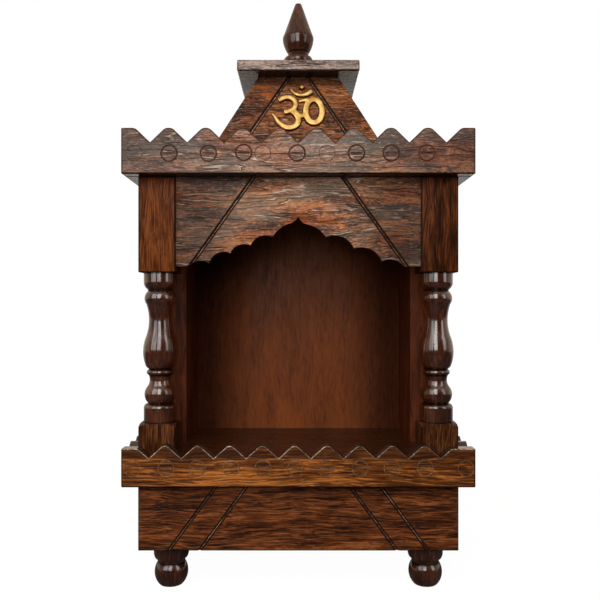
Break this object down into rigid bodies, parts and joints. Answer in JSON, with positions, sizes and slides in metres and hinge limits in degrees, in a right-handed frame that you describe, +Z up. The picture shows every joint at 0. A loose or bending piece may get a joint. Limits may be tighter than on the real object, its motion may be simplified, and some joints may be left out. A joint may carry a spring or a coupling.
{
  "type": "home shrine",
  "caption": "Wooden home shrine with turned pillars, a scalloped arch, toothed ledge and cornice, hipped roof with finial, brass Om sign and bun feet.",
  "frame": {"origin": "on the surface the shrine stands on, under the middle of its overall box", "axes": "+Z up, front towards -Y, +X to the viewer's right"},
  "size_m": [0.306, 0.165, 0.5494],
  "materials": {
    "board_wood": "dark stained boards under gloss lacquer, grain along each board",
    "turned_wood": "dark stained turned wood under gloss lacquer",
    "inner_wood": "red brown stained panel, satin",
    "brass": "satin cast brass"
  },
  "bodies": {
    "root": {"arch_panel": "board_wood", "back_panel": "inner_wood", "base_back": "board_wood", "base_bottom": "board_wood", "base_front": "board_wood", "base_left": "board_wood", "base_right": "board_wood", "cap_slab": "board_wood", "ceiling": "inner_wood", "cornice_front": "board_wood", "cornice_left": "board_wood", "cornice_right": "board_wood", "finial": "turned_wood", "foot_back_left": "turned_wood", "foot_back_right": "turned_wood", "foot_front_left": "turned_wood", "foot_front_right": "turned_wood", "ledge_front": "board_wood", "ledge_left": "board_wood", "ledge_right": "board_wood", "om_emblem": "brass", "pillar_left": "turned_wood", "pillar_right": "turned_wood", "roof_back": "board_wood", "roof_front": "board_wood", "roof_left": "board_wood", "roof_right": "board_wood", "shrine_floor": "inner_wood", "side_wall_left": "inner_wood", "side_wall_right": "inner_wood"}
  },
  "joints": []
}
